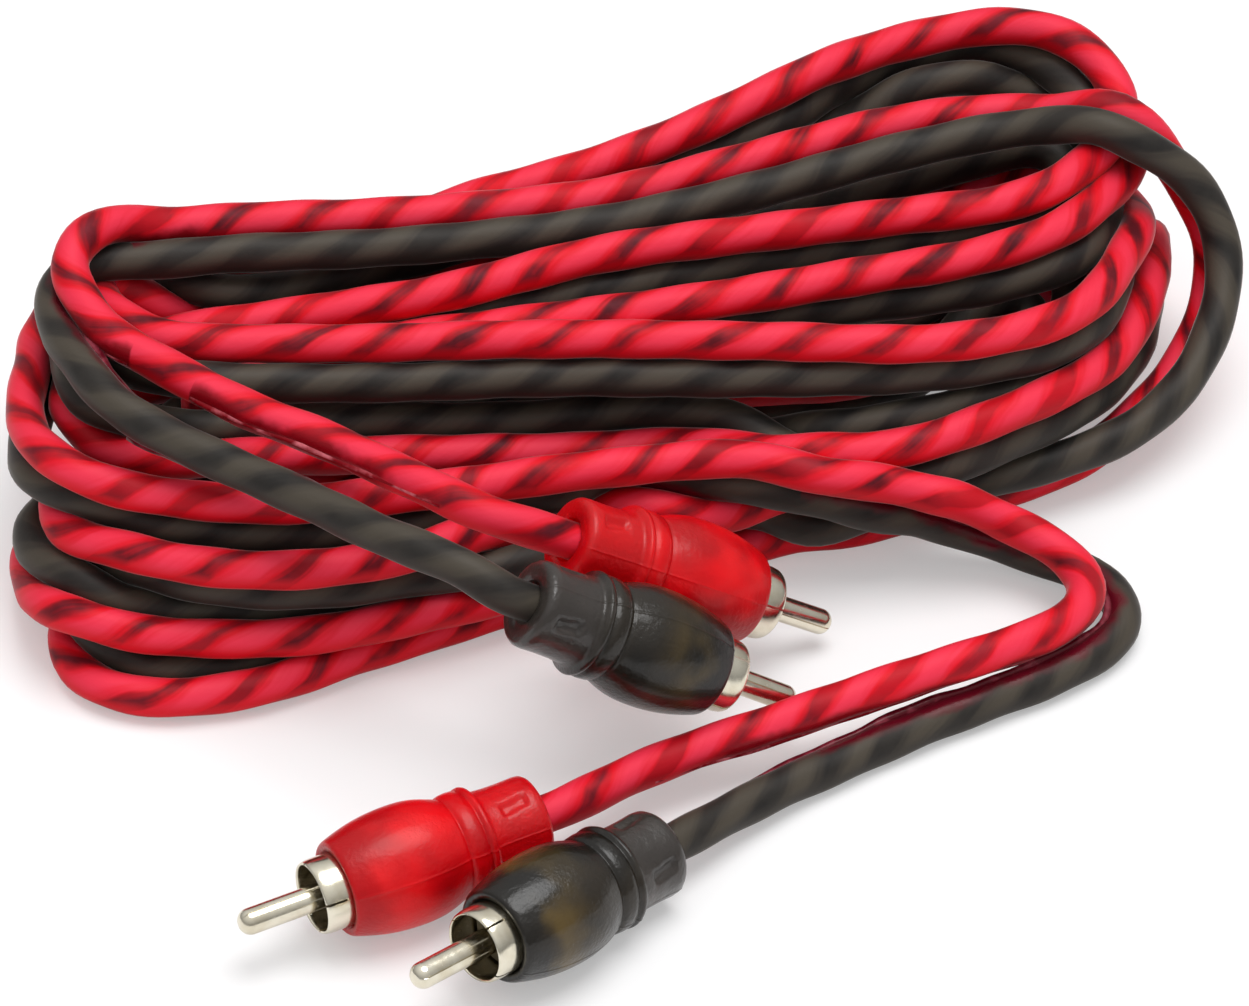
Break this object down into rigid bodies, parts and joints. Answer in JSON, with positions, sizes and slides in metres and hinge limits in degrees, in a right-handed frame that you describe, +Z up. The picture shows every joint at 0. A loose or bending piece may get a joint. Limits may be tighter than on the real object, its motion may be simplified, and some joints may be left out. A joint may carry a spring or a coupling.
{
  "type": "audio cable",
  "caption": "Two-channel audio cable with red and smoke jackets, wound into a hank and laid flat, with a moulded phono plug on each end.",
  "frame": {"origin": "on the surface that the cable lies on, under the left front part of the hank, below the middle of the picture's view", "axes": "+X to the right along the picture's width, +Y away from the viewer, +Z up"},
  "size_m": [0.153, 0.1513, 0.0349],
  "materials": {
    "jacket_pair": "satin, the red and the smoke jacket side by side",
    "red_jacket": "satin, translucent",
    "smoke_jacket": "satin, translucent",
    "red_overmould": "satin, translucent",
    "smoke_overmould": "satin, translucent",
    "nickel_plate": "polished nickel plate",
    "insulator_plastic": "matte",
    "core_plastic": "matte",
    "signal_insulation": "matte",
    "bare_copper": "bare copper strands"
  },
  "bodies": {
    "root": {"hank": "jacket_pair", "front_red_cord": "red_jacket", "front_red_overmould": "red_overmould", "front_red_ground_collar": "nickel_plate", "front_red_insulator": "insulator_plastic", "front_red_centre_pin": "nickel_plate", "front_red_core_moulding": "core_plastic", "front_red_signal_wire": "signal_insulation", "front_red_ground_wire": "bare_copper", "front_smoke_cord": "smoke_jacket", "front_smoke_overmould": "smoke_overmould", "front_smoke_ground_collar": "nickel_plate", "front_smoke_insulator": "insulator_plastic", "front_smoke_centre_pin": "nickel_plate", "front_smoke_core_moulding": "core_plastic", "front_smoke_signal_wire": "signal_insulation", "front_smoke_ground_wire": "bare_copper", "upper_red_cord": "red_jacket", "upper_red_overmould": "red_overmould", "upper_red_ground_collar": "nickel_plate", "upper_red_insulator": "insulator_plastic", "upper_red_centre_pin": "nickel_plate", "upper_red_core_moulding": "core_plastic", "upper_red_signal_wire": "signal_insulation", "upper_red_ground_wire": "bare_copper", "upper_smoke_cord": "smoke_jacket", "upper_smoke_overmould": "smoke_overmould", "upper_smoke_ground_collar": "nickel_plate", "upper_smoke_insulator": "insulator_plastic", "upper_smoke_centre_pin": "nickel_plate", "upper_smoke_core_moulding": "core_plastic", "upper_smoke_signal_wire": "signal_insulation", "upper_smoke_ground_wire": "bare_copper"}
  },
  "joints": []
}
